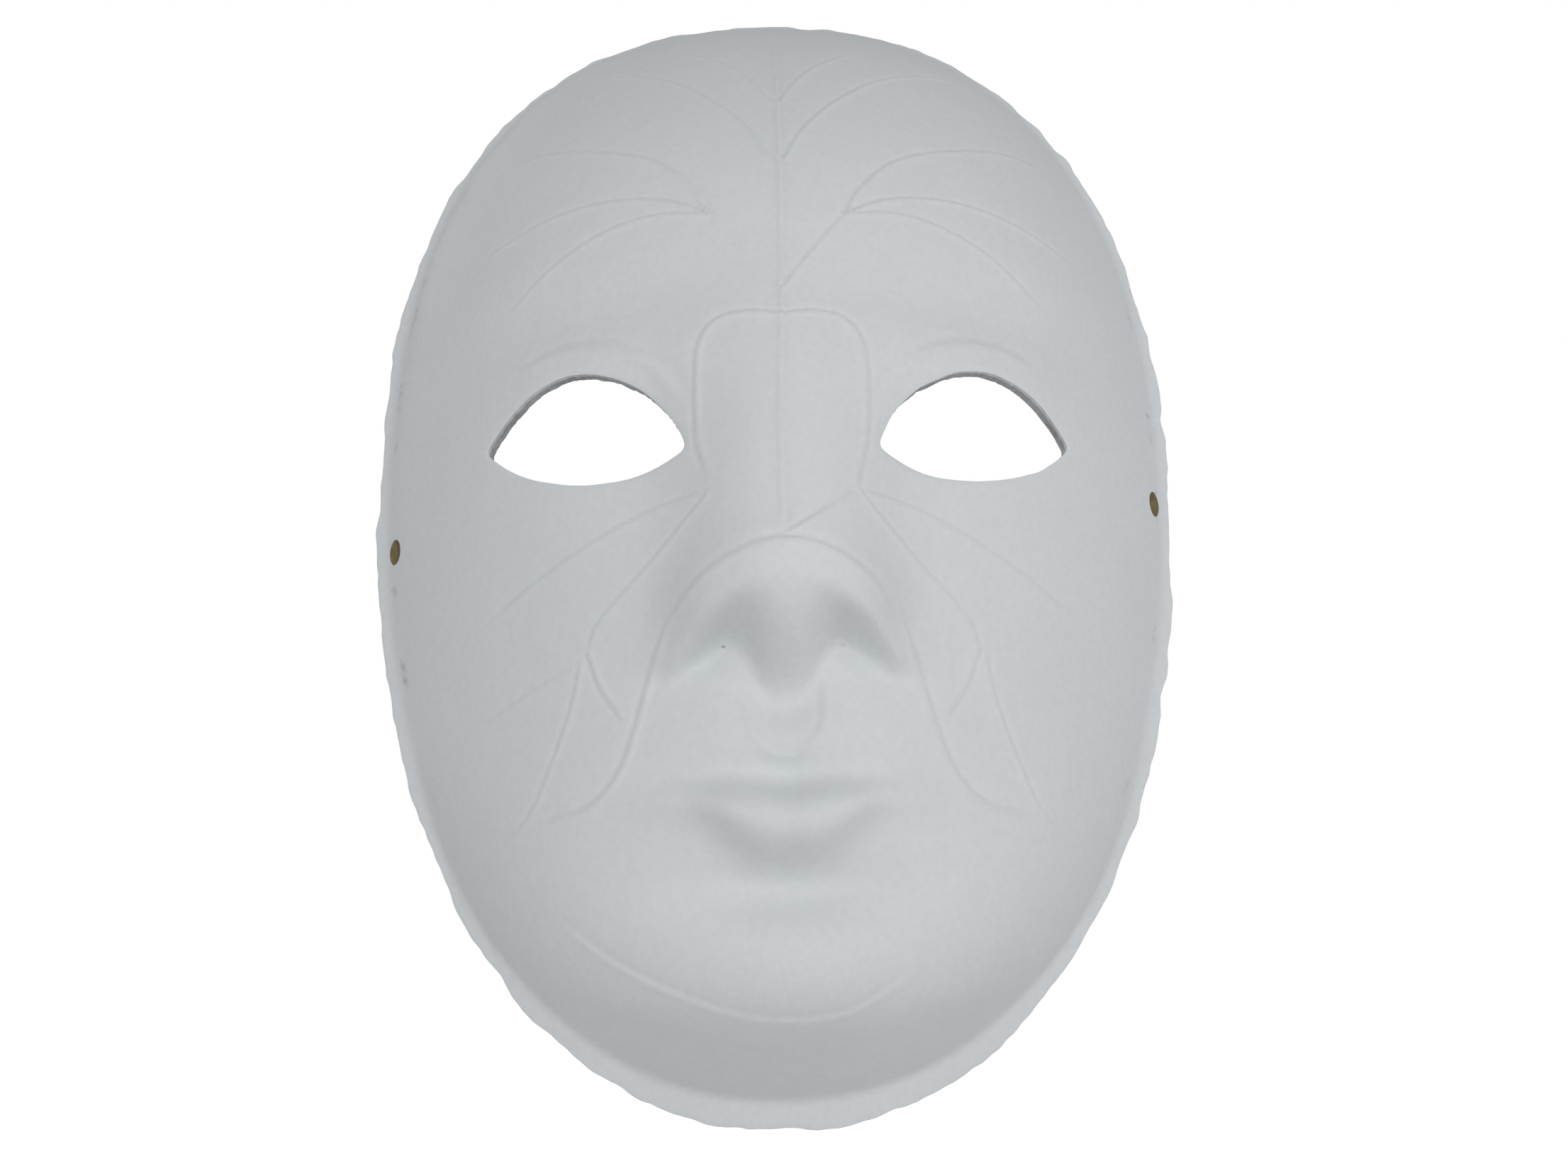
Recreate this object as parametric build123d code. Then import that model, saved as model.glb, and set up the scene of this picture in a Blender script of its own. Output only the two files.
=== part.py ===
from build123d import *
import math
import os

import numpy as np

# A blank full-face mask moulded from paper pulp, in millimetres.
# Frame: +Z up, the face looks along -Y, the hollow back opens along +Y.
# The rim's back lies in the plane y = 0. The origin is the middle of that plane,
# level with the middle of the two cord holes.

# ---- driving dimensions ----
RIM_HALF_WIDTH = 87.5         # widest half of the trimmed outline
RIM_CENTRE_Z = 14.5           # height at which the outline is widest
RIM_UP = 113.0                # from there to the top of the forehead
RIM_DOWN = 137.5              # from there to the bottom of the chin
ROUND_TOP = 2.32              # superellipse exponent of the upper outline
ROUND_CHIN = 2.14             # superellipse exponent of the lower outline

FACING = 0.9                  # thickness of the white facing ply
BACKING = 1.6                 # thickness of the grey backing ply
WALL = FACING + BACKING
LIP_SIDE = 0.3                # rim lip outside the wall's foot, at the sides
LIP_CHIN = 4.0                # the same, under the chin
LIP_TOP = -1.6                # the forehead is trimmed above the wall's foot: no lip

DOME = 54.0                   # depth of the plain dome in front of the rim plane
BULGE_SIDE = 2.3              # how square the dome is towards the sides
BULGE_TOP = 2.7               # the same, towards the forehead
BULGE_CHIN = 8.0              # the same, towards the chin
JAW_SLOPE = 2.2               # steepness of the wall under the chin
JAW_BLEND = 2.6               # rounding of the jaw's edge

NOSE_CREST = 17.5             # height of the nose above the cheeks
NOSE_ROOT_Z = 46.0            # where the bridge leaves the forehead
NOSE_LENGTH = 72.0
NOSE_TIP_Z = -26.5
NOSE_HALF_WIDTH = 17.0
MOUTH_Z = -60.5               # top edge of the lips
MOUTH_HALF_WIDTH = 25.0
LIP_FULLNESS = 8.4

EYE_INNER = (17.6, 0.9)       # four points of the opening on the face, as (x, z)
EYE_TOP = (35.8, 18.4)
EYE_OUTER = (58.1, 7.9)
EYE_BOTTOM = (39.2, -2.6)
EYE_CUT_OUT = 14.0            # the cut is square to the brow: degrees outward
EYE_CUT_UP = 8.0              # and degrees upward
EYE_CORNER = 1.2              # rounding of the opening's corners

HOLE_RADIUS = 2.75            # punched cord holes, square to the side wall
HOLE_DEPTH = 6.0              # their distance in front of the rim plane
HOLE_RISE = 4.6               # one is this much above the origin, one as much below

GRID = 3.0                    # spacing of the sections and points of each face
FINE = 0.5                    # spacing used to offset one face from another
MARGIN = 6.0                  # how far the faces run past the outline
FRONT = 95.0                  # a plane in front of the nose
SKIRT = 3.5                   # how far the space behind the mask runs past the outline
BEHIND = 20.0                 # and behind the rim plane
OUTLINE_SPANS = 8             # curves that make up the outline


# ---- the face as a depth in front of the rim plane ----
def bell(u):
    return np.exp(-u * u)


def ease(t):
    t = np.clip(t, 0, 1)
    return t * t * (3 - 2 * t)


def rise(t, width):
    return 0.5 * (1 + np.tanh(t / width))


def soft_max(a, b, blend):
    top = np.maximum(a, b)
    return top + blend * np.log(np.exp((a - top) / blend) + np.exp((b - top) / blend))


def dome_depth(x, z):
    """Plain egg-shaped dome with a steep, flat wall under the jaw."""
    from_centre = z - RIM_CENTRE_Z
    upper = from_centre > 0
    reach = np.where(upper, RIM_UP - LIP_TOP, RIM_DOWN - LIP_CHIN)
    roundness = np.where(upper, ROUND_TOP, ROUND_CHIN)
    across = np.abs(x) / (RIM_HALF_WIDTH - LIP_SIDE)
    along = np.abs(from_centre) / reach
    radius = (across ** roundness + along ** roundness) ** (1 / roundness)
    up = np.clip(from_centre / reach, 0, 1)
    jaw = ease((-from_centre / reach - 0.35) / 0.55)
    bulge = BULGE_SIDE + (BULGE_TOP - BULGE_SIDE) * up ** 2
    bulge = bulge + (BULGE_CHIN - BULGE_SIDE) * jaw ** 1.3
    front = DOME * (1 - radius ** bulge)
    wall = (JAW_SLOPE + 9.0 * (1 - jaw)) * (1 - radius) * (RIM_DOWN - LIP_CHIN)
    return -soft_max(-front, -wall, JAW_BLEND)


def eye_relief(x, z):
    """Hollows under the brow and beside the nose, the lid and the rounded forehead."""
    side = np.abs(x)
    brow = -2.4 * bell((side - 38) / 24) * bell((z - 33) / 9)
    inner = -2.2 * bell((side - 25) / 10) * bell((z - 6) / 15)
    lid = 1.6 * bell((side - 38) / 22) * bell((z - 20) / 8)
    forehead = 2.4 * bell(x / 42) * bell((z - 64) / 26)
    return brow + inner + lid + forehead


def nose_relief(x, z):
    """Bridge that swells to the tip, two wings, and an underside back to the lip."""
    side = np.abs(x)
    down = np.clip((NOSE_ROOT_Z - z) / NOSE_LENGTH, 0, 1)
    crest = NOSE_CREST * down ** 1.25
    edge = NOSE_TIP_Z - 0.024 * np.minimum(side, 20) ** 2
    length = 5.0 + 16.0 * np.exp(-(side / 6.4) ** 2.6)
    kept = 1 - ease((edge - z) / length)
    section = np.exp(-(side / (NOSE_HALF_WIDTH + 1.5 * down)) ** (1.9 + 1.5 * down ** 3))
    ball = 2.0 * bell(x / 9) * bell((z + 22) / 6)
    wings = 1.6 * bell((side - 16) / 5) * bell((z + 28) / 6) * kept
    nostrils = -2.4 * bell((side - 12) / 5.0) * bell((z - edge + 4.5) / 3.6)
    columella = 1.2 * bell(x / 4.5) * bell((z + 34) / 6)
    return crest * kept * section + ball + wings + nostrils + columella


def mouth_relief(x, z):
    """Groove under the nose, lips closed into one form, and the chin."""
    side = np.abs(x)
    groove = -2.8 * np.exp(-(side / 7.4) ** 4) * bell((z + 45) / 6.5)
    muzzle = 4.6 * bell(x / 30) * bell((z + 52) / 12)
    bow = MOUTH_Z + 0.9 * bell((side - 9) / 7) - 0.9 * bell(x / 4)
    low = MOUTH_Z - 11.0 + 8.5 * ease((side - 4) / 19)
    lips = LIP_FULLNESS * rise(bow - z, 3.7) * rise(z - low, 3.2)
    lips = lips * np.exp(-(side / MOUTH_HALF_WIDTH) ** 4)
    above = -4.2 * bell((z - MOUTH_Z - 2.2) / 4.0) * bell(x / 19)
    below = -5.2 * bell((z - MOUTH_Z + 16.8) / 5.4) * bell(x / 18)
    chin = 4.5 * bell(x / 27) * bell((z + 94) / 13)
    return groove + muzzle + lips + above + below + chin


def face_depth(x, z):
    """Depth of the outer face, without the rim lip; negative outside the wall."""
    depth = dome_depth(x, z) + eye_relief(x, z) + nose_relief(x, z) + mouth_relief(x, z)
    return soft_max(depth, np.full_like(depth, -MARGIN), 1.0)


# ---- the same face moved inward, and faces as surfaces ----
X_LIMIT = RIM_HALF_WIDTH + MARGIN
Z_LOW = RIM_CENTRE_Z - RIM_DOWN - MARGIN
Z_HIGH = RIM_CENTRE_Z + RIM_UP + MARGIN


def fine_grid():
    xs = np.arange(-X_LIMIT, X_LIMIT + FINE / 2, FINE)
    zs = np.arange(Z_LOW, Z_HIGH + FINE / 2, FINE)
    return xs, zs


def depth_inside(offset):
    """Depth on the fine grid of the face lying `offset` inside the outer face."""
    xs, zs = fine_grid()
    reach = int(math.ceil(offset / FINE))
    pad = reach * FINE
    wide_x = np.arange(xs[0] - pad, xs[-1] + pad + FINE / 2, FINE)
    wide_z = np.arange(zs[0] - pad, zs[-1] + pad + FINE / 2, FINE)
    depth = face_depth(*np.meshgrid(wide_x, wide_z, indexing="ij"))
    lowest = np.full((len(xs), len(zs)), np.inf)
    for i in range(-reach, reach + 1):
        for j in range(-reach, reach + 1):
            gap = offset ** 2 - (i * i + j * j) * FINE ** 2
            if gap < 0:
                continue
            window = depth[reach + i:reach + i + len(xs), reach + j:reach + j + len(zs)]
            lowest = np.minimum(lowest, window - math.sqrt(gap))
    return lowest


def surface(depth):
    """A smooth face lofted through level sections of the depths, GRID apart."""
    xs, zs = fine_grid()
    step = int(round(GRID / FINE))
    columns = range(0, len(xs), step)
    even = [k / (len(columns) - 1) for k in range(len(columns))]
    sections = []
    for j in range(0, len(zs), step):
        points = [Vector(xs[i], -depth[i, j], zs[j]) for i in columns]
        sections.append(Wire([Edge.make_spline(points, parameters=even)]))
    return Shell.make_loft(sections).face()


# ---- outline, openings and plies ----
def rim_point(turn):
    """Point of the trimmed outline at an angle, from two half superellipses."""
    c, s = math.cos(turn), math.sin(turn)
    roundness = ROUND_TOP if s > 0 else ROUND_CHIN
    reach = RIM_UP if s > 0 else RIM_DOWN
    x = math.copysign(abs(c) ** (2 / roundness), c) * RIM_HALF_WIDTH
    z = math.copysign(abs(s) ** (2 / roundness), s) * reach + RIM_CENTRE_Z
    return Vector(x, 0, z)


def outline_span(start, end):
    """Smooth curve along the outline between two angles."""
    turns = [start + (end - start) * k / 8 for k in range(9)]
    nudge = 1e-4
    tangents = [rim_point(turn + nudge) - rim_point(turn - nudge) for turn in (start, end)]
    return Edge.make_spline([rim_point(turn) for turn in turns], tangents=tangents)


def blank_block():
    """Everything inside the trimmed outline, from the rim plane to past the nose."""
    ends = [2 * math.pi * k / OUTLINE_SPANS for k in range(OUTLINE_SPANS + 1)]
    spans = [outline_span(start, end) for start, end in zip(ends, ends[1:])]
    return extrude(make_face(Wire(spans)), amount=FRONT, dir=(0, -1, 0))


def behind(solid, face):
    """The part of a solid behind a surface, towards the rim plane."""
    pieces = solid.split(face, Keep.ALL)
    return max(pieces, key=lambda piece: piece.center().Y)


def in_front(solid, face):
    pieces = solid.split(face, Keep.ALL)
    return min(pieces, key=lambda piece: piece.center().Y)


def space_behind(face):
    """The hollow and the space behind the rim, bounded in front by the inner face."""
    height = RIM_UP + RIM_DOWN + 2 * SKIRT
    middle_z = RIM_CENTRE_Z + (RIM_UP - RIM_DOWN) / 2
    block = Box(2 * (RIM_HALF_WIDTH + SKIRT), FRONT + BEHIND, height)
    return behind(Pos(0, (BEHIND - FRONT) / 2, middle_z) * block, face)


def eye_cutter(side):
    """Prism of one eye opening, cut square to the brow."""
    slant_x = side * math.tan(math.radians(EYE_CUT_OUT))
    slant_z = math.tan(math.radians(EYE_CUT_UP))
    corners = []
    for x, z in (EYE_INNER, EYE_TOP, EYE_OUTER, EYE_BOTTOM):
        depth = float(face_depth(np.array(x), np.array(z)))
        corners.append(Vector(side * x - slant_x * depth, 0, z - slant_z * depth))
    inner, top, outer, bottom = corners
    arcs = ThreePointArc(inner, top, outer) + ThreePointArc(outer, bottom, inner)
    opening = make_face(arcs)
    opening = fillet(opening.vertices(), EYE_CORNER)
    return extrude(opening, amount=FRONT, dir=(slant_x, -1, slant_z))


def hole_seat(side):
    """Centre of a cord hole on the outer face, and the wall's normal there."""
    z = side * HOLE_RISE
    x = RIM_HALF_WIDTH - LIP_SIDE
    while float(face_depth(np.array(x), np.array(z))) < HOLE_DEPTH:
        x -= 0.01
    fall = float(face_depth(np.array(x - 0.5), np.array(z)))
    fall -= float(face_depth(np.array(x + 0.5), np.array(z)))
    length = math.hypot(fall, 1)
    return Vector(side * x, -HOLE_DEPTH, z), Vector(side * fall / length, -1 / length, 0)


def hole_cutter(side):
    seat, normal = hole_seat(side)
    plane = Plane(origin=seat - normal * (WALL + 2.5), z_dir=normal)
    return extrude(plane * Circle(HOLE_RADIUS), amount=WALL + 6.5)


def main():
    bare = depth_inside(0)
    outer = surface(soft_max(bare, np.full_like(bare, WALL), 0.5))
    between = depth_inside(FACING)
    middle = surface(soft_max(between, np.full_like(between, BACKING), 0.5))
    inner = surface(depth_inside(WALL))

    filled = behind(blank_block(), outer)
    core = behind(filled, middle)
    backing = core - space_behind(inner)
    plies = {"face_ply": in_front(filled, middle), "backing_ply": backing.solid()}

    cutters = [eye_cutter(1), eye_cutter(-1), hole_cutter(1), hole_cutter(-1)]
    os.makedirs("parts", exist_ok=True)
    for name, ply in plies.items():
        for cutter in cutters:
            ply = ply - cutter
        ply = ply.solid()
        ply.label = name
        export_step(ply, f"parts/{name}.step")
        print(name, "volume", round(ply.volume), "valid", ply.is_valid)
    for side in (-1, 1):
        seat, normal = hole_seat(side)
        print("cord hole", side, tuple(round(v, 3) for v in seat), tuple(round(v, 4) for v in normal))


main()
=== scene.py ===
import math

import bmesh
import bpy
import numpy as np
from mathutils import Matrix, Vector, noise
from mathutils.geometry import delaunay_2d_cdt
from mathutils.kdtree import KDTree


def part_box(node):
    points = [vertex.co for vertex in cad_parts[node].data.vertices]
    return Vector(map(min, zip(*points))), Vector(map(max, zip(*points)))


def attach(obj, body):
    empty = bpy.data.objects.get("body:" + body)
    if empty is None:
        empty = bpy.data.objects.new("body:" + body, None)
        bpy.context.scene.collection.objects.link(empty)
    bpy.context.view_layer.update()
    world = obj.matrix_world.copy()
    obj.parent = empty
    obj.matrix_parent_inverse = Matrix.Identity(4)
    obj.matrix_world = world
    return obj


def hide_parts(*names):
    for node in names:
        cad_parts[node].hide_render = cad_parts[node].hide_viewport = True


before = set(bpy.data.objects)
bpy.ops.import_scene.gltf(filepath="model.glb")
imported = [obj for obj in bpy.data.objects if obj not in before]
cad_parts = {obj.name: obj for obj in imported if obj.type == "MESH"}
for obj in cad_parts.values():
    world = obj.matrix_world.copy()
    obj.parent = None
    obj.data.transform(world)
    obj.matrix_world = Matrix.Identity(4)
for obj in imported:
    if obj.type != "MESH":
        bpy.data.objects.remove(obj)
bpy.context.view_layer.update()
MM = 0.001
DICE = np.random.RandomState(41)

# ---- the face's dimensions, in millimetres: the rim is read from the CAD ----
CAD_LOW, CAD_HIGH = [np.array(corner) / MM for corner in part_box("backing_ply")]
RIM_CENTRE_Z = 14.5
RIM_HALF_WIDTH = CAD_HIGH[0]
RIM_UP = CAD_HIGH[2] - RIM_CENTRE_Z
RIM_DOWN = RIM_CENTRE_Z - CAD_LOW[2]
ROUND_TOP = 2.32
ROUND_CHIN = 2.14
FACING = 0.9
BACKING = 1.6
WALL = FACING + BACKING
LIP_SIDE = 0.3
LIP_CHIN = 4.0
LIP_TOP = -1.6
DOME = 54.0
BULGE_SIDE = 2.3
BULGE_TOP = 2.7
BULGE_CHIN = 8.0
JAW_SLOPE = 2.2
JAW_BLEND = 2.6
NOSE_CREST = 17.5
NOSE_ROOT_Z = 46.0
NOSE_LENGTH = 72.0
NOSE_TIP_Z = -26.5
NOSE_HALF_WIDTH = 17.0
MOUTH_Z = -60.5
MOUTH_HALF_WIDTH = 25.0
LIP_FULLNESS = 8.4
EYE_CORNERS = ((17.6, 0.9), (35.8, 18.4), (58.1, 7.9), (39.2, -2.6))
EYE_CUT_OUT = 14.0
EYE_CUT_UP = 8.0
HOLE_RADIUS = 2.75
HOLE_DEPTH = 6.0
HOLE_RISE = 4.6
MARGIN = 6.0
FINE = 0.5

# ---- mesh spacing and small irregularities, in millimetres ----
FACE_STEP = 1.15              # lattice of the visible front
HIDDEN_STEP = 2.6             # lattice of the glued faces between the plies
BACK_STEP = 1.3               # lattice of the hollow side
EDGE_STEP = 0.7               # points along the trimmed edges
LINE_ROWS = (0.0, -0.45, 0.45, -0.9, 0.9, -1.4, 1.4)
ROW_WIDTH = 0.5               # the width of line that these rows are spaced for
LINE_STEP = 0.75
LINE_GAIN = 1.3               # on the heights in the table of lines
SMALLEST_CELL = 0.3
DECKLE = 0.5                  # waviness of the trimmed outline
EYE_WAVE = 0.16               # the same, around the eye openings
RAGGED = 0.14                 # raggedness of the inner ply's cut edges
WORN_EDGE = 0.3               # how far the facing rounds off at its trimmed edges
SWELL = 0.10                  # broad unevenness of the facing
RIPPLE = 0.045                # fine unevenness of the facing
PULP_SWELL = 0.26             # the same two for the hollow side
PULP_RIPPLE = 0.16
CREASE_AT = 0.958             # where the crease runs, as a part of the dome's radius
CREASE_WIDTH = 0.35
CREASE_DEPTH = 0.2
RIM_SAMPLES = 2400
HOLE_POINTS = 36


# ---- the face as a depth in front of the rim plane ----
# The same as the CAD's, except for the columella under the nose, the groove below it and
# the edge of the lower lip, which lie up to 2.2 mm off the CAD's.
def bell(u):
    return np.exp(-u * u)


def ease(t):
    t = np.clip(t, 0, 1)
    return t * t * (3 - 2 * t)


def rise(t, width):
    return 0.5 * (1 + np.tanh(t / width))


def soft_max(a, b, blend):
    top = np.maximum(a, b)
    return top + blend * np.log(np.exp((a - top) / blend) + np.exp((b - top) / blend))


def dome_radius(x, z):
    """Radius (1 on the foot of the dome's wall) and height (1 at its top, -1 at its bottom)."""
    from_centre = z - RIM_CENTRE_Z
    upper = from_centre > 0
    reach = np.where(upper, RIM_UP - LIP_TOP, RIM_DOWN - LIP_CHIN)
    roundness = np.where(upper, ROUND_TOP, ROUND_CHIN)
    across = np.abs(x) / (RIM_HALF_WIDTH - LIP_SIDE)
    along = np.abs(from_centre) / reach
    radius = (across ** roundness + along ** roundness) ** (1 / roundness)
    return radius, from_centre / reach


def dome_depth(x, z):
    """Plain egg-shaped dome with a steep, flat wall under the jaw."""
    radius, height = dome_radius(x, z)
    up = np.clip(height, 0, 1)
    jaw = ease((-height - 0.35) / 0.55)
    bulge = BULGE_SIDE + (BULGE_TOP - BULGE_SIDE) * up ** 2
    bulge = bulge + (BULGE_CHIN - BULGE_SIDE) * jaw ** 1.3
    front = DOME * (1 - radius ** bulge)
    wall = (JAW_SLOPE + 9.0 * (1 - jaw)) * (1 - radius) * (RIM_DOWN - LIP_CHIN)
    return -soft_max(-front, -wall, JAW_BLEND)


def eye_relief(x, z):
    """Hollows under the brow and beside the nose, the lid and the rounded forehead."""
    side = np.abs(x)
    brow = -2.4 * bell((side - 38) / 24) * bell((z - 33) / 9)
    inner = -2.2 * bell((side - 25) / 10) * bell((z - 6) / 15)
    lid = 1.6 * bell((side - 38) / 22) * bell((z - 20) / 8)
    forehead = 2.4 * bell(x / 42) * bell((z - 64) / 26)
    return brow + inner + lid + forehead


def nose_relief(x, z):
    """Bridge that swells to the tip, two wings, and an underside back to the lip."""
    side = np.abs(x)
    down = np.clip((NOSE_ROOT_Z - z) / NOSE_LENGTH, 0, 1)
    crest = NOSE_CREST * down ** 1.25
    edge = NOSE_TIP_Z - 0.024 * np.minimum(side, 20) ** 2
    length = 5.0 + 16.0 * np.exp(-(side / 6.4) ** 2.6)
    kept = 1 - ease((edge - z) / length)
    section = np.exp(-(side / (NOSE_HALF_WIDTH + 1.5 * down)) ** (1.9 + 1.5 * down ** 3))
    ball = 2.0 * bell(x / 9) * bell((z + 22) / 6)
    wings = 1.6 * bell((side - 16) / 5) * bell((z + 28) / 6) * kept
    nostrils = -2.4 * bell((side - 12) / 5.0) * bell((z - edge + 4.5) / 3.6)
    columella = 1.9 * bell(x / 5.0) * bell((z + 35) / 6)
    return crest * kept * section + ball + wings + nostrils + columella


def mouth_relief(x, z):
    """Groove under the nose, lips closed into one form, and the chin."""
    side = np.abs(x)
    groove = -3.8 * bell(x / 6.6) * bell((z + 44) / 6.5)
    muzzle = 4.6 * bell(x / 30) * bell((z + 52) / 12)
    bow = MOUTH_Z + 0.9 * bell((side - 9) / 7) - 0.9 * bell(x / 4)
    low = MOUTH_Z - 11.0 + 8.5 * ease((side - 3) / 16)
    lips = LIP_FULLNESS * rise(bow - z, 3.7) * rise(z - low, 3.2)
    lips = lips * np.exp(-(side / MOUTH_HALF_WIDTH) ** 4)
    above = -4.2 * bell((z - MOUTH_Z - 2.2) / 4.0) * bell(x / 19)
    below = -5.2 * bell((z - MOUTH_Z + 16.8) / 5.4) * bell(x / 18)
    chin = 4.5 * bell(x / 27) * bell((z + 94) / 13)
    return groove + muzzle + lips + above + below + chin


def face_depth(x, z):
    depth = dome_depth(x, z) + eye_relief(x, z) + nose_relief(x, z) + mouth_relief(x, z)
    return soft_max(depth, np.full_like(depth, -MARGIN), 1.0)


class InnerFace:
    """The face moved inward by an offset, kept on a fine grid and read between its points."""

    def __init__(self, offset):
        self.x0 = -RIM_HALF_WIDTH - MARGIN
        self.z0 = RIM_CENTRE_Z - RIM_DOWN - MARGIN
        xs = np.arange(self.x0, -self.x0 + FINE / 2, FINE)
        zs = np.arange(self.z0, RIM_CENTRE_Z + RIM_UP + MARGIN + FINE / 2, FINE)
        reach = int(math.ceil(offset / FINE))
        pad = reach * FINE
        wide_x = xs[0] - pad + FINE * np.arange(len(xs) + 2 * reach)
        wide_z = zs[0] - pad + FINE * np.arange(len(zs) + 2 * reach)
        depth = face_depth(*np.meshgrid(wide_x, wide_z, indexing="ij"))
        self.depth = np.full((len(xs), len(zs)), np.inf)
        for i in range(-reach, reach + 1):
            for j in range(-reach, reach + 1):
                gap = offset ** 2 - (i * i + j * j) * FINE ** 2
                if gap < 0:
                    continue
                rows = slice(reach + i, reach + i + len(xs))
                columns = slice(reach + j, reach + j + len(zs))
                self.depth = np.minimum(self.depth, depth[rows, columns] - math.sqrt(gap))

    def __call__(self, x, z):
        u = np.clip((x - self.x0) / FINE, 0, self.depth.shape[0] - 1.001)
        v = np.clip((z - self.z0) / FINE, 0, self.depth.shape[1] - 1.001)
        i, j = u.astype(int), v.astype(int)
        s, t = u - i, v - j
        near = self.depth[i, j] * (1 - s) + self.depth[i + 1, j] * s
        far = self.depth[i, j + 1] * (1 - s) + self.depth[i + 1, j + 1] * s
        return near * (1 - t) + far * t


FACING_BACK = InnerFace(FACING)
HOLLOW = InnerFace(WALL)


# Each face stops at the thickness of the plies behind it, which makes the rim's lip.
def outer_face(x, z):
    return soft_max(face_depth(x, z), WALL, 0.5)


def middle_face(x, z):
    return soft_max(FACING_BACK(x, z), BACKING, 0.5)


def hollow_face(x, z):
    return np.maximum(HOLLOW(x, z), 0)


# ---- curves on the face ----
def smooth_curve(points, step):
    """Even points along a Catmull-Rom curve through a few given points."""
    points = np.array(points, float)
    ends = [2 * points[0] - points[1], *points, 2 * points[-1] - points[-2]]
    fine = []
    for a, b, c, d in zip(ends, ends[1:], ends[2:], ends[3:]):
        t = np.linspace(0, 1, 24, endpoint=False)[:, None]
        fine.append(0.5 * (2 * b + (c - a) * t + (2 * a - 5 * b + 4 * c - d) * t ** 2
                           + (3 * b - a - 3 * c + d) * t ** 3))
    return even(np.vstack(fine + [points[-1:]]), step)


def even(path, step, closed=False):
    if closed:
        path = np.vstack([path, path[:1]])
    run = np.concatenate([[0], np.cumsum(np.linalg.norm(np.diff(path, axis=0), axis=1))])
    count = max(int(round(run[-1] / step)), 2)
    at = np.linspace(0, run[-1], count + 1)
    if closed:
        at = at[:-1]
    return np.stack([np.interp(at, run, path[:, k]) for k in (0, 1)], axis=1)


def tangents(path, closed=False):
    if closed:
        ahead = np.roll(path, -1, axis=0) - np.roll(path, 1, axis=0)
    else:
        ahead = np.gradient(path, axis=0)
    return ahead / np.linalg.norm(ahead, axis=1)[:, None]


def leftward(path, closed=False):
    along = tangents(path, closed)
    return np.stack([-along[:, 1], along[:, 0]], axis=1)


def wavy(count, length, size):
    """Smooth closed random wave: `length` points per swing, about `size` high."""
    knots = max(int(count / length), 4)
    values = DICE.uniform(-1, 1, knots)
    at = np.arange(count) / count * knots
    i = at.astype(int)
    blend = ease(at - i)
    return size * (values[i % knots] * (1 - blend) + values[(i + 1) % knots] * blend)


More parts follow.
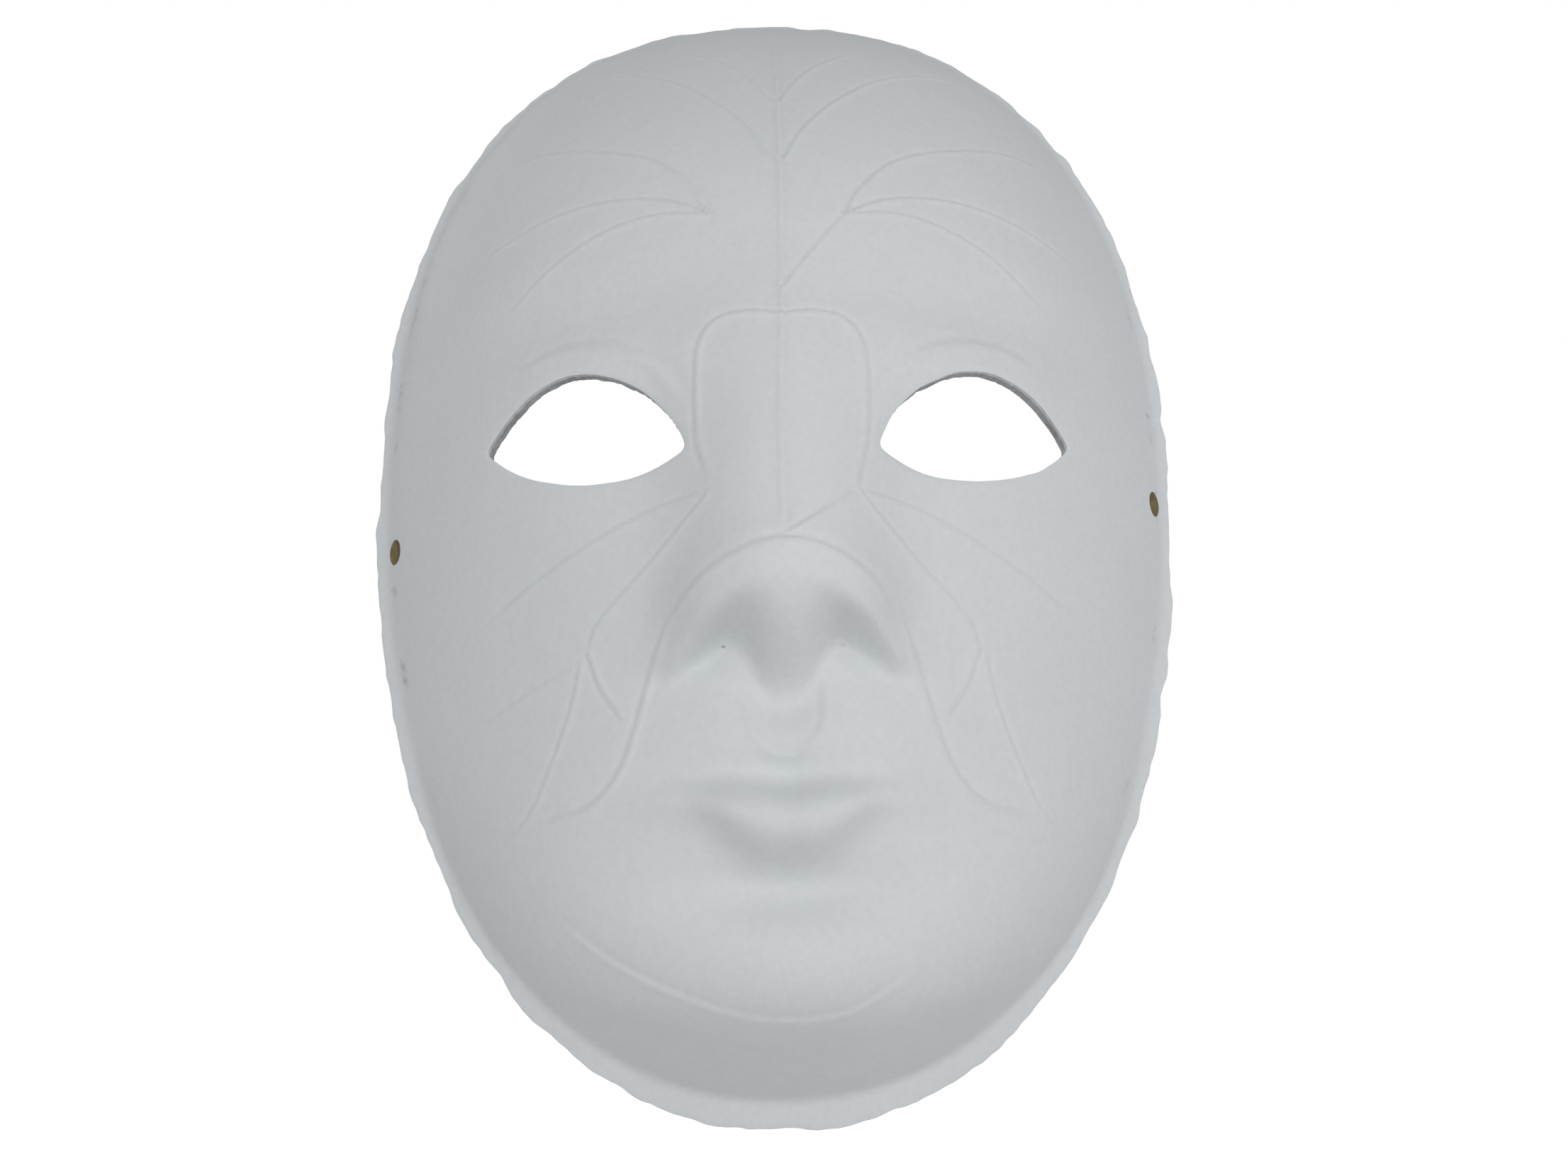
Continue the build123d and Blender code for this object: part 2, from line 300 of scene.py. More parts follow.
# Embossed lines. Each is (name, points, height, width, sides, fade at start, fade at end).
# Points are (x, z); side 1 is the line as it stands and side -1 is the same line mirrored.
BOTH = (1, -1)
LINES = (
    ("vein", ((0.8, 108), (0.8, 60), (0.4, 27), (-0.2, 5), (-0.2, -17.6)), 0.3, 0.5, (1,), 3, 2),
    ("crown", ((0.6, 80.5), (5.5, 91.5), (13, 101), (21, 108)), 0.24, 0.5, BOTH, 1, 6),
    ("upper_arc", ((0.8, 62), (7, 74.5), (18.5, 89), (28.3, 97), (36, 101.3), (46, 105.5)),
     0.3, 0.5, BOTH, 1, 8),
    ("stem", ((0, 31.5), (6.3, 41), (12.6, 49.3)), 0.22, 0.5, BOTH, 1, 1),
    ("middle_arc", ((12.6, 49.3), (16.5, 56.5), (24.3, 65), (37.7, 72.2), (49.5, 77.3), (64, 80.8)),
     0.3, 0.5, BOTH, 1, 12),
    ("lower_arc", ((12.6, 49.3), (18, 52.6), (26.5, 55.4), (38, 56.8), (51, 55.8), (66, 52)),
     0.34, 0.5, BOTH, 1, 12),
    ("brow_arc", ((12.6, 49.3), (21, 50.9), (31, 50), (42, 46), (51, 40.2), (56.5, 35)),
     0.26, 0.5, BOTH, 2, 10),
    ("lid_fold", ((17.8, 10.5), (20.5, 15), (26, 20.6), (35, 24.6), (45, 24.6), (53, 21)),
     0.4, 1.1, BOTH, 3, 8),
    ("cheek_high", ((13, -8.9), (22, -9.4), (31, -12.2), (47, -20), (62, -28.7)),
     0.28, 0.5, BOTH, 1, 14),
    ("cheek_fold", ((13, -8.9), (21.6, -16.9), (33.3, -27.8), (36.6, -33.8)), 0.3, 0.5, BOTH, 1, 2),
    ("cheek_tuck", ((36.6, -33.8), (33.8, -41), (28.8, -48)), 0.36, 0.5, BOTH, 1, 3),
    ("smile", ((20.5, -28.5), (24.6, -39), (27.2, -48.5), (29.7, -55.5), (33.5, -60.7),
               (38.2, -63.4), (46, -64)), 0.42, 0.6, BOTH, 5, 6),
    ("cheek_drop", ((37.6, -34.4), (39.6, -43.6), (43, -53.5), (47.5, -63.2), (54.5, -69.6)),
     0.24, 0.5, BOTH, 3, 10),
    ("cheek_back", ((37.8, -36), (47, -39.7), (55.5, -43.6), (63.2, -46.1)), 0.22, 0.5, (-1,), 3, 8),
    ("bridge_slant", ((-0.2, -19.5), (5.4, -15.4), (12.8, -9.4)), 0.3, 0.5, (1,), 1, 1),
    ("bridge_panel", ((-13.2, -7), (-15.6, 1.5), (-16, 12), (-15.4, 21), (-12, 26), (-6, 27),
                      (0, 26.2), (6, 27), (12, 26), (15.4, 20.6), (16, 11), (15.2, 1),
                      (12.8, -8.8)), 0.36, 0.55, (1,), 6, 2),
    ("nose_tip", ((-22.3, -34), (-18.5, -28), (-10.6, -22.8), (0, -20.3), (10.6, -22.8),
                  (17.6, -28), (20.6, -33.5)), 0.5, 0.7, (1,), 9, 9),
    ("lip_groove", ((-6.4, -41), (-6.2, -48), (-4, -52.6), (0, -54.4), (3.8, -52.6),
                    (6.2, -48), (6.4, -40)), 0.3, 0.7, (1,), 5, 5),
    ("chin_arc", ((-44, -80), (-30, -90), (-13, -97.3), (0, -99.6), (12, -97.6), (24, -89.5)),
     0.24, 0.6, (1,), 12, 12),
)


class Line:
    """One embossed line, with the distances to it kept ready."""

    def __init__(self, points, height, width, sides, fade_in, fade_out):
        self.height = LINE_GAIN * height
        self.width, self.sides = width, sides
        self.path = smooth_curve(points, LINE_STEP)
        self.left = leftward(self.path)
        run = LINE_STEP * np.arange(len(self.path))
        self.fade = ease(run / fade_in) * ease((run[-1] - run) / fade_out)
        self.tree = KDTree(len(self.path))
        for k, (x, z) in enumerate(self.path):
            self.tree.insert((x, z, 0), k)
        self.tree.balance()
        self.low = self.path.min(axis=0) - 4
        self.high = self.path.max(axis=0) + 4

    def rows(self):
        for row in LINE_ROWS:
            offset = self.path + self.left * row * self.width / ROW_WIDTH
            for side in self.sides:
                yield offset * (side, 1)

    def relief(self, x, z):
        """A low ridge with a fine groove on its outer side."""
        total = np.zeros(len(x))
        for side in self.sides:
            sx = side * x
            near = (sx > self.low[0]) & (sx < self.high[0])
            near &= (z > self.low[1]) & (z < self.high[1])
            for k in np.flatnonzero(near):
                at, index, distance = self.tree.find((sx[k], z[k], 0))
                if distance > 6 * self.width:
                    continue
                gap = (sx[k] - at[0]) * self.left[index][0] + (z[k] - at[1]) * self.left[index][1]
                d = math.copysign(distance, gap) / self.width
                shape = math.exp(-(d + 0.7) ** 2) - 0.75 * math.exp(-((d - 0.9) * 1.2) ** 2)
                total[k] += self.height * self.fade[index] * shape
        return total


LINE_SET = [Line(*shape) for _, *shape in LINES]


def foot_crease(x, z):
    """Broken fine crease down the side walls, near the rim: 0 to 1."""
    off = (dome_radius(x, z)[0] - CREASE_AT) * RIM_HALF_WIDTH
    sides = ease((np.abs(x) - 62) / 8) * ease((z + 62) / 14) * ease((78 - z) / 14)
    dashes = np.array([noise.noise((2.0 * (1 if a > 0 else 9), 0.0, b / 9)) for a, b in zip(x, z)])
    return bell(off / CREASE_WIDTH) * sides * ease((dashes - 0.02) / 0.2)


def lumps(x, y, z, size, seed):
    """Smooth noise between about -1 and 1 whose swings are `size` millimetres long."""
    return np.array([noise.noise((a / size + seed, b / size, c / size)) for a, b, c in zip(x, y, z)])


# ---- loops where the plies are cut ----
def rim_loop():
    turn = np.linspace(0, 2 * np.pi, RIM_SAMPLES, endpoint=False)
    c, s = np.cos(turn), np.sin(turn)
    roundness = np.where(s > 0, ROUND_TOP, ROUND_CHIN)
    reach = np.where(s > 0, RIM_UP, RIM_DOWN)
    x = np.sign(c) * np.abs(c) ** (2 / roundness) * RIM_HALF_WIDTH
    z = np.sign(s) * np.abs(s) ** (2 / roundness) * reach + RIM_CENTRE_Z
    path = even(np.stack([x, z], axis=1), EDGE_STEP, closed=True)
    wave = wavy(len(path), 7.5, DECKLE) + wavy(len(path), 3.2, 0.3 * DECKLE)
    return path + leftward(path, closed=True) * (wave + 0.25 * DECKLE)[:, None]


def arc_through(a, b, c, count):
    ax, az, bx, bz, cx, cz = *a, *b, *c
    d = 2 * (ax * (bz - cz) + bx * (cz - az) + cx * (az - bz))
    squares = [x * x + z * z for x, z in (a, b, c)]
    mx = (squares[0] * (bz - cz) + squares[1] * (cz - az) + squares[2] * (az - bz)) / d
    mz = (squares[0] * (cx - bx) + squares[1] * (ax - cx) + squares[2] * (bx - ax)) / d
    radius = math.hypot(ax - mx, az - mz)
    start, via, end = [math.atan2(z - mz, x - mx) for x, z in (a, b, c)]
    sweep = (end - start) % (2 * math.pi)
    if (via - start) % (2 * math.pi) > sweep:
        sweep -= 2 * math.pi
    turn = start + sweep * np.linspace(0, 1, count, endpoint=False)
    return np.stack([mx + radius * np.cos(turn), mz + radius * np.sin(turn)], axis=1)


def eye_loop(side):
    """One eye opening's outline in the rim plane, and the slant of its cut."""
    out, up = [math.tan(math.radians(angle)) for angle in (EYE_CUT_OUT, EYE_CUT_UP)]
    slant = np.array([side * out, up])
    corners = []
    for x, z in EYE_CORNERS:
        depth = float(face_depth(np.array(x), np.array(z)))
        corners.append(np.array([side * x, z]) - slant * depth)
    inner, top, outer, bottom = corners
    path = np.vstack([arc_through(inner, top, outer, 200), arc_through(outer, bottom, inner, 200)])
    path = even(path, 0.5, closed=True)
    weights = np.exp(-0.5 * (np.arange(-6, 7) / 2.0) ** 2)
    weights /= weights.sum()
    path = sum(w * np.roll(path, k, axis=0) for k, w in zip(range(-6, 7), weights))
    path = even(path, EDGE_STEP, closed=True)
    return path + leftward(path, closed=True) * wavy(len(path), 6, EYE_WAVE)[:, None], slant


def drop_to(base, slant, depth):
    """Where cut lines that start in the rim plane meet a face."""
    at = base.copy()
    for _ in range(16):
        at = base + slant * depth(at[:, 0], at[:, 1])[:, None]
    return at


def hole_ring(side, depth):
    """The cord hole's edge on a face, as (x, z)."""
    z = side * HOLE_RISE
    x = RIM_HALF_WIDTH - LIP_SIDE
    while float(face_depth(np.array(x), np.array(z))) < HOLE_DEPTH:
        x -= 0.01
    fall = float(face_depth(np.array(x - 0.5), np.array(z)))
    fall -= float(face_depth(np.array(x + 0.5), np.array(z)))
    length = math.hypot(fall, 1)
    normal = np.array([side * fall / length, -1 / length])
    turn = np.linspace(0, 2 * np.pi, HOLE_POINTS, endpoint=False)
    across = HOLE_RADIUS * np.cos(turn)
    ring_x = side * x + across * normal[1]
    ring_y = -HOLE_DEPTH - across * normal[0]
    ring_z = z + HOLE_RADIUS * np.sin(turn)
    inside, outside = np.full(HOLE_POINTS, -7.0), np.full(HOLE_POINTS, 7.0)
    for _ in range(40):
        t = (inside + outside) / 2
        hidden = ring_y + t * normal[1] + depth(ring_x + t * normal[0], ring_z) > 0
        inside = np.where(hidden, t, inside)
        outside = np.where(hidden, outside, t)
    return np.stack([ring_x + inside * normal[0], ring_z], axis=1)


RIM = rim_loop()
EYES = [eye_loop(1), eye_loop(-1)]
WAVY_LOOPS = 3                # the rim and the eyes; the punched holes after them stay round


def loops_on(depth, ragged=0.0):
    """Every trimmed edge on one face: the rim, two eyes and two cord holes."""
    loops = [RIM.copy()]
    loops += [drop_to(base, slant, depth) for base, slant in EYES]
    if ragged:
        for loop in loops:
            rough = DICE.uniform(-ragged, ragged, len(loop)) * 0.6 + wavy(len(loop), 4, ragged)
            loop += leftward(loop, closed=True) * rough[:, None]
    loops += [hole_ring(side, depth) for side in (1, -1)]
    return loops


# ---- sheets of triangles between the loops ----
def inside_loop(points, loop):
    """Even-odd test of many points against one closed loop."""
    x, z = points[:, 0], points[:, 1]
    found = np.zeros(len(points), bool)
    for (ax, az), (bx, bz) in zip(loop, np.roll(loop, -1, axis=0)):
        if az == bz:
            continue
        crosses = (az > z) != (bz > z)
        found ^= crosses & (x < (bx - ax) * (z - az) / (bz - az) + ax)
    return found


def on_sheet(points, loops):
    kept = inside_loop(points, loops[0])
    for loop in loops[1:]:
        near = np.all((points > loop.min(axis=0)) & (points < loop.max(axis=0)), axis=1)
        hit = np.zeros(len(points), bool)
        hit[near] = inside_loop(points[near], loop)
        kept &= ~hit
    return kept


def distance_to(points, targets, limit):
    tree = KDTree(len(targets))
    for k, (x, z) in enumerate(targets):
        tree.insert((x, z, 0), k)
    tree.balance()
    return np.array([min(tree.find((x, z, 0))[2], limit) for x, z in points])


def lattice(step):
    """Even triangular lattice over the whole outline."""
    rows = np.arange(RIM_CENTRE_Z - RIM_DOWN, RIM_CENTRE_Z + RIM_UP, step * math.sqrt(3) / 2)
    columns = np.arange(-RIM_HALF_WIDTH, RIM_HALF_WIDTH, step)
    x, z = np.meshgrid(columns, rows, indexing="xy")
    x[1::2] += step / 2
    return np.stack([x.ravel(), z.ravel()], axis=1)


def sheet(loops, step, rows=(), inset=()):
    """Triangles over one face. Returns points (x, z), triangles and each loop's indices."""
    edge_points = np.vstack(loops)
    rings = []
    for k, loop in enumerate(loops[:WAVY_LOOPS]):
        inward = 1 if winds_left(loop) == (k == 0) else -1
        for gap in inset:
            rings.append(loop + leftward(loop, closed=True) * gap * inward)
    groups = []
    taken = edge_points
    if rings:
        rings = np.vstack(rings)
        taken = np.vstack([edge_points, rings])
        groups.append(rings)
    if len(rows):
        rows = np.vstack(rows)
        rows = rows[on_sheet(rows, loops)]
        rows = rows[distance_to(rows, taken, 2.0) > 0.45]
        cells = np.unique(np.round(rows / SMALLEST_CELL), axis=0, return_index=True)[1]
        rows = rows[np.sort(cells)]
        groups.append(rows)
    grid = lattice(step)
    grid = grid[on_sheet(grid, loops)]
    grid = grid[distance_to(grid, taken, 2.0) > 0.55 * min(step, 1.2)]
    if len(rows):
        grid = grid[distance_to(grid, rows, 2.0) > 0.62]
    groups.append(grid)
    points = np.vstack([edge_points, *groups])
    edges, spans, start = [], [], 0
    for loop in loops:
        index = np.arange(start, start + len(loop))
        spans.append(index)
        edges += list(zip(index.tolist(), np.roll(index, -1).tolist()))
        start += len(loop)
    made = delaunay_2d_cdt([Vector(p) for p in points.tolist()], edges, [], 1, 1e-7)
    verts = np.array([(v[0], v[1]) for v in made[0]])
    origin = {}
    for k, sources in enumerate(made[3]):
        for source in sources:
            origin[source] = k
    faces = np.array(made[2])
    middles = verts[faces].mean(axis=1)
    faces = faces[on_sheet(middles, loops)]
    return verts, faces, [[origin[i] for i in span] for span in spans]


def winds_left(loop):
    ahead = np.roll(loop, -1, axis=0)
    return np.sum(loop[:, 0] * ahead[:, 1] - ahead[:, 0] * loop[:, 1]) > 0


def make_piece(name, front, back, materials, wall_rows, wall_rough=0.0, shade_mask=None):
    """A closed ply: a front and a back sheet joined by walls along every trimmed edge."""
    front_points, front_faces, front_spans = front
    back_points, back_faces, back_spans = back
    verts = [*front_points.tolist(), *back_points.tolist()]
    shift = len(front_points)
    polygons = front_faces.tolist() + (back_faces[:, ::-1] + shift).tolist()
    slots = [0] * len(polygons)
    sharp = set()
    for which, (outer, inner) in enumerate(zip(front_spans, back_spans)):
        rails = [outer]
        for row in range(1, wall_rows):
            part = row / wall_rows
            rail = []
            for i, j in zip(outer, inner):
                spot = np.array(verts[i]) * (1 - part) + np.array(verts[shift + j]) * part
                if which < WAVY_LOOPS:
                    spot[[0, 2]] += DICE.uniform(-wall_rough, wall_rough, 2)
                rail.append(len(verts))
                verts.append(spot.tolist())
            rails.append(rail)
        rails.append([shift + j for j in inner])
        for upper, lower in zip(rails, rails[1:]):
            for a, b, c, d in zip(upper, np.roll(upper, -1), np.roll(lower, -1), lower):
                polygons.append((a, b, c, d))
                slots.append(1 if which < WAVY_LOOPS else 2)
        for rail in (rails[0], rails[-1]):
            sharp.update(tuple(sorted(pair)) for pair in zip(rail, np.roll(rail, -1)))
    mesh = bpy.data.meshes.new(name)
    mesh.from_pydata((np.array(verts) * MM).tolist(), [], polygons)
    for material in materials:
        mesh.materials.append(material)
    mesh.polygons.foreach_set("material_index", slots)
    mesh.polygons.foreach_set("use_smooth", [True] * len(polygons))
    if shade_mask is not None:
        # the crease mask, carried to the material for the painted shade along the crease
        layer = mesh.attributes.new("crease", "FLOAT", "POINT")
        layer.data.foreach_set("value", np.concatenate([shade_mask, np.zeros(len(verts) - len(shade_mask))]))
    mesh.validate()
    mesh.update()
    outward(mesh)
    for edge in mesh.edges:
        edge.use_edge_sharp = tuple(sorted(edge.vertices)) in sharp
    piece = bpy.data.objects.new(name, mesh)
    bpy.context.scene.collection.objects.link(piece)
    return piece


def outward(mesh):
    """Turns every face so that the closed ply's normals point out."""
    work = bmesh.new()
    work.from_mesh(mesh)
    bmesh.ops.recalc_face_normals(work, faces=work.faces)
    work.to_mesh(mesh)
    work.free()


# ---- materials ----
class Nodes:
    """Shorthand for building a node tree in code."""

    def __init__(self, name):
        self.material = bpy.data.materials.new(name)
        self.material.use_nodes = True
        self.tree = self.material.node_tree
        self.shader = next(n for n in self.tree.nodes if n.type == "BSDF_PRINCIPLED")
        self.place = self.tree.nodes.new("ShaderNodeTexCoord").outputs["Object"]

    def link(self, source, socket):
        self.tree.links.new(source, socket)

    def noise(self, scale, detail=2.0, stretch=None, roughness=0.5):
        node = self.tree.nodes.new("ShaderNodeTexNoise")
        node.inputs["Scale"].default_value = scale
        node.inputs["Detail"].default_value = detail
        node.inputs["Roughness"].default_value = roughness
        place = self.place
        if stretch:
            mapping = self.tree.nodes.new("ShaderNodeMapping")
            mapping.inputs["Scale"].default_value = stretch
            self.link(place, mapping.inputs["Vector"])
            place = mapping.outputs["Vector"]
        self.link(place, node.inputs["Vector"])
        return node.outputs["Fac"]

    def remap(self, value, low, high, to_low=0.0, to_high=1.0):
        node = self.tree.nodes.new("ShaderNodeMapRange")
        node.inputs["From Min"].default_value = low
        node.inputs["From Max"].default_value = high
        node.inputs["To Min"].default_value = to_low
        node.inputs["To Max"].default_value = to_high
        self.link(value, node.inputs["Value"])
        return node.outputs["Result"]

    def math(self, how, a, b):
        node = self.tree.nodes.new("ShaderNodeMath")
        node.operation = how
        for socket, value in zip(node.inputs, (a, b)):
            if isinstance(value, (int, float)):
                socket.default_value = value
            else:
                self.link(value, socket)
        return node.outputs["Value"]

    def mix(self, factor, a, b):
        node = self.tree.nodes.new("ShaderNodeMix")
        node.data_type = "RGBA"
        self.link(factor, node.inputs[0])
        for socket, value in ((node.inputs[6], a), (node.inputs[7], b)):
            if isinstance(value, tuple):
                socket.default_value = (*value, 1)
            else:
                self.link(value, socket)
        return node.outputs[2]

    def specks(self, scale, size):
        """Rare dark flecks in the pulp: 1 on a fleck."""
        node = self.tree.nodes.new("ShaderNodeTexVoronoi")
        node.inputs["Scale"].default_value = scale
        self.link(self.place, node.inputs["Vector"])
        close = self.remap(node.outputs["Distance"], size, 0.6 * size)
        split = self.tree.nodes.new("ShaderNodeSeparateColor")
        self.link(node.outputs["Color"], split.inputs["Color"])
        rare = self.remap(split.outputs["Red"], 0.955, 0.96)
        return self.math("MULTIPLY", close, rare)

    def bump(self, height, distance, strength=1.0, under=None):
        node = self.tree.nodes.new("ShaderNodeBump")
        node.inputs["Strength"].default_value = strength
        node.inputs["Distance"].default_value = distance
        self.link(height, node.inputs["Height"])
        if under is not None:
            self.link(under, node.inputs["Normal"])
        return node.outputs["Normal"]

    def finish(self, colour, roughness, normal, specular=0.25):
        self.link(colour, self.shader.inputs["Base Color"])
        if isinstance(roughness, float):
            self.shader.inputs["Roughness"].default_value = roughness
        else:
            self.link(roughness, self.shader.inputs["Roughness"])
        self.shader.inputs["Specular IOR Level"].default_value = specular
        self.link(normal, self.shader.inputs["Normal"])
        return self.material


def white_paper():
    """Pressed white facing: faint mottling, fine fibres, rare flecks and painted shade along the crease
    near the rim.
    """
    n = Nodes("white_facing_paper")
    broad = n.remap(n.noise(38, 3), 0.35, 0.65)
    colour = n.mix(broad, (0.775, 0.795, 0.805), (0.80, 0.81, 0.825))
    mottle = n.remap(n.noise(700, 3), 0.38, 0.66)
    colour = n.mix(n.math("MULTIPLY", mottle, 0.35), colour, (0.72, 0.735, 0.745))
    attribute = n.tree.nodes.new("ShaderNodeAttribute")
    attribute.attribute_name = "crease"
    # painted shade: the facing is darkened along the fine crease near the rim, broken up by noise
    crease_shade = n.math("MULTIPLY", attribute.outputs["Fac"], n.remap(n.noise(260, 2), 0.4, 0.6))
    colour = n.mix(n.math("MULTIPLY", crease_shade, 0.5), colour, (0.3, 0.31, 0.35))
    colour = n.mix(n.math("MULTIPLY", n.specks(55, 0.022), 0.6), colour, (0.24, 0.22, 0.22))
    fibre = n.bump(n.noise(900, 2, stretch=(1.0, 1.0, 0.22)), 0.00012, 0.35)
    fibre = n.bump(n.noise(850, 2, stretch=(0.25, 1.0, 1.0)), 0.00012, 0.35, under=fibre)
    grain = n.bump(n.noise(1900, 3, roughness=0.65), 0.00009, 0.5, under=fibre)
    return n.finish(colour, n.remap(n.noise(240, 2), 0.3, 0.7, 0.8, 0.94), grain)


def grey_pulp(name, dark, light, coarse):
    """Unbleached pulp: matted fibres and a mottled colour between the two given; the darker pairs for
    the backing's cut walls and the punched holes are painted shade.
    """
    n = Nodes(name)
    colour = n.mix(n.remap(n.noise(120, 4), 0.36, 0.64), dark, light)
    fibres = n.remap(n.noise(1100, 3, stretch=(1.0, 0.6, 0.2)), 0.42, 0.6)
    paler = tuple(min(1.0, 1.22 * c) for c in light)
    colour = n.mix(n.math("MULTIPLY", fibres, 0.5), colour, paler)
    colour = n.mix(n.math("MULTIPLY", n.specks(90, 0.05), 0.5), colour, (0.2, 0.18, 0.16))
    matted = n.bump(n.noise(420, 4, roughness=0.6), 0.0004 * coarse, 0.8)
    strands = n.bump(n.noise(1300, 3, stretch=(0.2, 0.7, 1.0)), 0.0002 * coarse, 0.7, under=matted)
    return n.finish(colour, 0.94, strands, specular=0.15)


WHITE = white_paper()
WHITE_CUT = grey_pulp("facing_cut_edge", (0.56, 0.57, 0.59), (0.66, 0.67, 0.68), 0.6)
PULP = grey_pulp("grey_backing_pulp", (0.46, 0.46, 0.46), (0.56, 0.56, 0.55), 1.0)
# the backing's cut walls: its own pulp grey, painted darker as painted shade
PULP_CUT_SHADED = grey_pulp("backing_cut_edge_shaded", (0.33, 0.33, 0.34), (0.45, 0.45, 0.46), 1.2)
# painted shade: the punched holes' walls are painted dark brown-grey
HOLE_WALL_SHADE = grey_pulp("punched_hole_shade", (0.2, 0.155, 0.09), (0.34, 0.27, 0.15), 1.0)

# ---- the two plies ----
outer_loops = loops_on(outer_face)
middle_loops = loops_on(middle_face)
hollow_loops = loops_on(hollow_face, ragged=RAGGED)

line_rows = [row for line in LINE_SET for row in line.rows()]
points, faces, spans = sheet(outer_loops, FACE_STEP, rows=line_rows, inset=(0.4, 0.9))
x, z = points[:, 0], points[:, 1]
depth = outer_face(x, z)
relief = sum(line.relief(x, z) for line in LINE_SET)
# the crease both dents the facing and marks where painted shade goes
crease = foot_crease(x, z)
to_edge = distance_to(points, np.vstack(outer_loops[:WAVY_LOOPS]), 4.0)
depth += relief * ease(to_edge / 1.2) - CREASE_DEPTH * crease
depth -= WORN_EDGE * np.exp(-(to_edge / 0.4) ** 1.5)
uneven = SWELL * lumps(x, depth, z, 7.0, 3.1) + RIPPLE * lumps(x, depth, z, 2.6, 8.4)
depth += uneven * ease(to_edge / 2)
front = (np.stack([x, -depth, z], axis=1), faces, spans)

points, faces, spans = sheet(middle_loops, HIDDEN_STEP)
glued = np.stack([points[:, 0], -middle_face(points[:, 0], points[:, 1]), points[:, 1]], axis=1)
between = (glued, faces, spans)
facing = make_piece("face_ply_paper", front, between, (WHITE, WHITE_CUT, HOLE_WALL_SHADE), 1, shade_mask=crease)

points, faces, spans = sheet(hollow_loops, BACK_STEP, inset=(0.5, 1.1))
x, z = points[:, 0], points[:, 1]
depth = hollow_face(x, z)
to_edge = distance_to(points, np.vstack(hollow_loops[:WAVY_LOOPS]), 6.0)
rough = PULP_SWELL * lumps(x, depth, z, 6.0, 1.7) + PULP_RIPPLE * lumps(x, depth, z, 2.4, 5.2)
depth = depth + np.abs(rough) * ease(to_edge / 3) + 0.2 * np.exp(-(to_edge / 0.4) ** 1.5)
hollow = (np.stack([x, -depth, z], axis=1), faces, spans)
backing = make_piece("backing_ply_pulp", between, hollow, (PULP, PULP_CUT_SHADED, HOLE_WALL_SHADE), 3, 0.12)

PLIES = ((facing, "face_ply", "white_facing"), (backing, "backing_ply", "grey_backing"))
for piece, node, slot in PLIES:
    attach(piece, "root")
    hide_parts(node)

# ---- camera ----
FOCAL = 30.906                # millimetres on a 36 mm wide sensor
AIM = Vector((1.3, 0, -11.9)) * MM
DISTANCE = 0.295
BELOW = math.radians(14)      # the camera looks up at the mask
ASIDE = math.radians(1.57)
ROLL = math.radians(1.02)

back = Vector((-math.sin(ASIDE) * math.cos(BELOW), -math.cos(ASIDE) * math.cos(BELOW),
               -math.sin(BELOW)))
right = (-back).cross(Vector((0, 0, 1))).normalized()
up = right.cross(-back)
turned_right = math.cos(ROLL) * right - math.sin(ROLL) * up
turned_up = math.sin(ROLL) * right + math.cos(ROLL) * up
camera = bpy.data.objects.new("camera", bpy.data.cameras.new("camera"))
camera.data.lens = FOCAL
camera.data.sensor_width = 36
camera.data.clip_start = 0.01
basis = Matrix((turned_right, turned_up, back)).transposed().to_4x4()
camera.matrix_world = Matrix.Translation(AIM + back * DISTANCE) @ basis
bpy.context.scene.collection.objects.link(camera)
bpy.context.scene.camera = camera


# ---- light, floor and background ----
LIGHTS = (                    # name, direction from the origin, metres away, size, watts
    ("wide_left", (-0.6, -1, 0), 1.8, 1.2, 1.25),
    ("near_front", (0.05, -0.5, -0.035), 0.5, 0.3, 0.52),
    ("near_right", (0.45, -0.25, -0.05), 0.5, 0.3, 0.17),
    ("near_camera", (0, -0.3, -0.06), 0.31, 0.12, 0.025),
    ("behind", (-0.9, 1, 0.7), 1.5, 0.4, 7.0),
)
LIT_POINT = Vector((0, -0.03, 0))
SURROUND = 0.43               # strength of the soft light from all around
FLOOR_REACH = 12.0
FLOOR_Z = -0.30


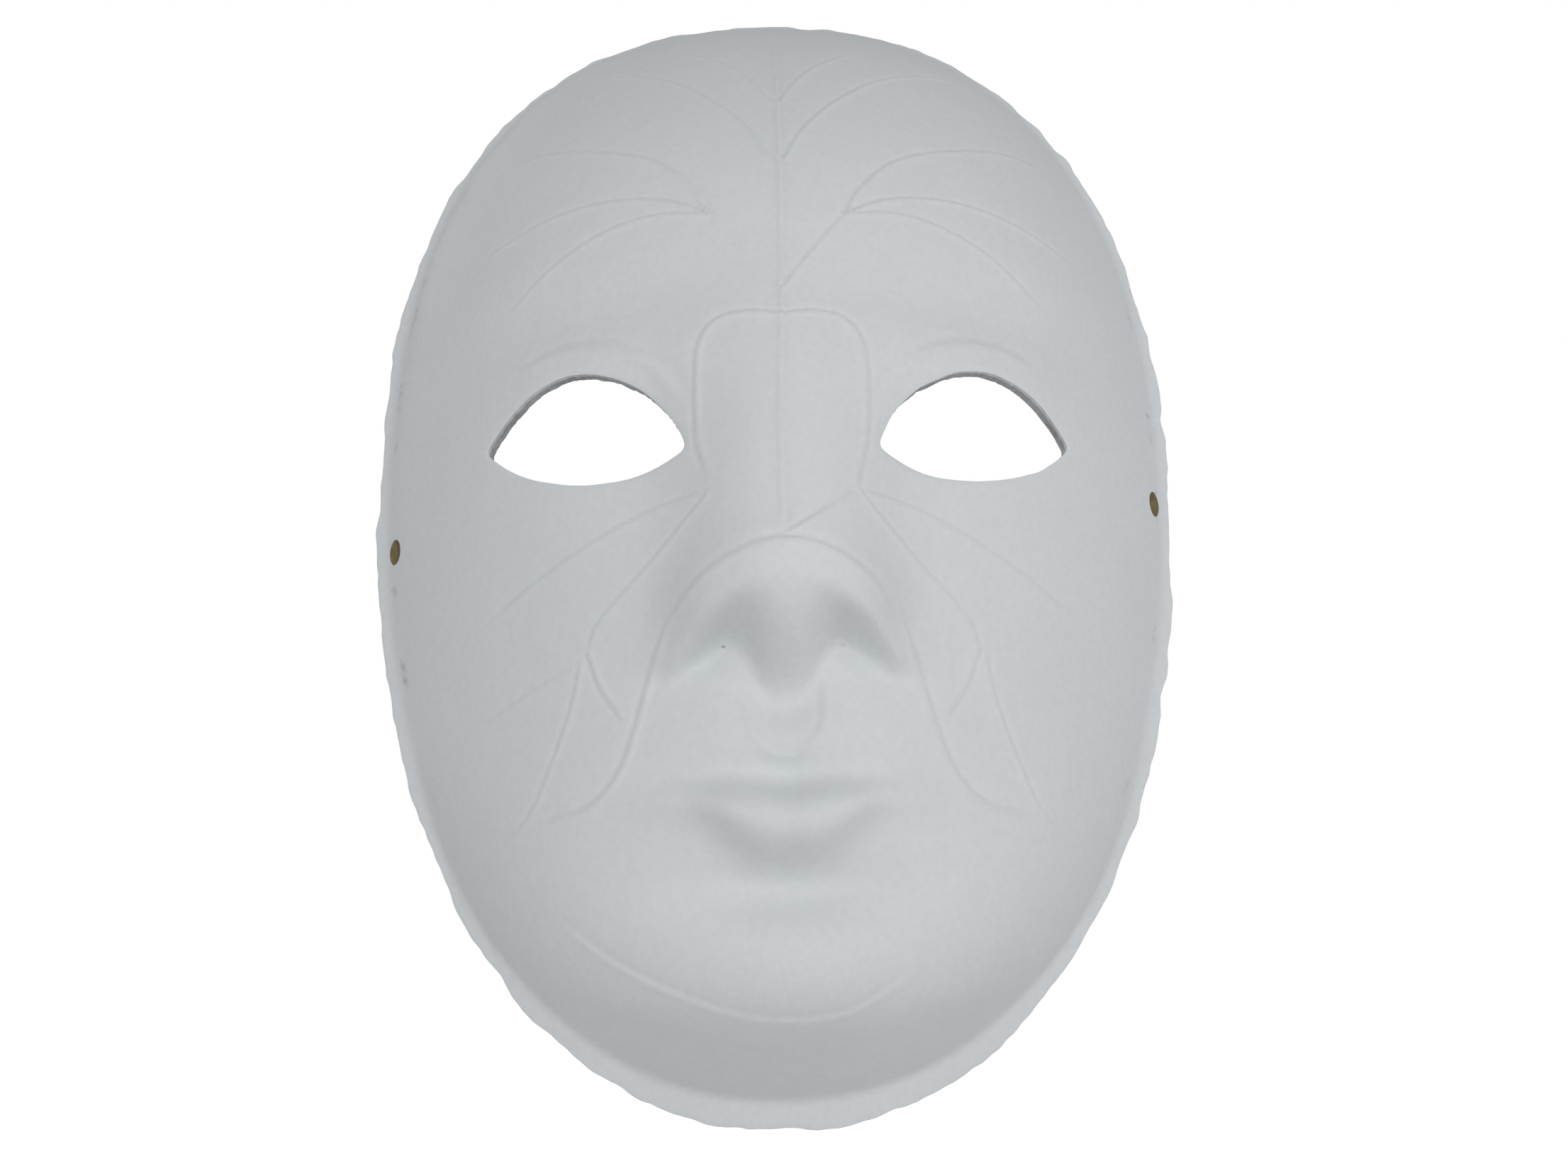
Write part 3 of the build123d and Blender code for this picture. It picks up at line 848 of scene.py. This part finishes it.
def soft_light(name, direction, distance, size, power):
    lamp = bpy.data.objects.new(name, bpy.data.lights.new(name, "AREA"))
    lamp.data.shape = "DISK"
    lamp.data.size = size
    lamp.data.energy = power
    lamp.location = Vector(direction).normalized() * distance
    lamp.rotation_mode = "QUATERNION"
    lamp.rotation_quaternion = (lamp.location - LIT_POINT).to_track_quat("Z", "Y")
    lamp.visible_camera = False
    bpy.context.scene.collection.objects.link(lamp)


for light in LIGHTS:
    soft_light(*light)

world = bpy.data.worlds.new("world")
world.use_nodes = True
sky = world.node_tree
surround = next(n for n in sky.nodes if n.type == "BACKGROUND")
surround.inputs["Color"].default_value = (0.96, 0.99, 1.0, 1)
surround.inputs["Strength"].default_value = SURROUND
plain = sky.nodes.new("ShaderNodeBackground")
plain.inputs["Strength"].default_value = 1.0
plain.inputs["Color"].default_value = (1, 1, 1, 1)
rays = sky.nodes.new("ShaderNodeLightPath")
choose = sky.nodes.new("ShaderNodeMixShader")
sky.links.new(rays.outputs["Is Camera Ray"], choose.inputs["Fac"])
sky.links.new(surround.outputs[0], choose.inputs[1])
sky.links.new(plain.outputs[0], choose.inputs[2])
sky.links.new(choose.outputs[0], next(n for n in sky.nodes if n.type == "OUTPUT_WORLD").inputs[0])
bpy.context.scene.world = world
bpy.context.scene.view_settings.view_transform = "Standard"

floor_mesh = bpy.data.meshes.new("floor")
corners = [(x * FLOOR_REACH, y * FLOOR_REACH, FLOOR_Z) for x, y in ((-1, -1), (1, -1), (1, 1), (-1, 1))]
floor_mesh.from_pydata(corners, [], [(0, 1, 2, 3)])
floor = bpy.data.objects.new("floor", floor_mesh)
pale = bpy.data.materials.new("pale_floor")
pale.use_nodes = True
pale_shader = next(n for n in pale.node_tree.nodes if n.type == "BSDF_PRINCIPLED")
pale_shader.inputs["Base Color"].default_value = (0.92, 0.92, 0.92, 1)
pale_shader.inputs["Roughness"].default_value = 0.9
pale_shader.inputs["Emission Color"].default_value = (1, 1, 1, 1)
pale_shader.inputs["Emission Strength"].default_value = 0.72
floor_mesh.materials.append(pale)
floor.visible_diffuse = False
bpy.context.scene.collection.objects.link(floor)
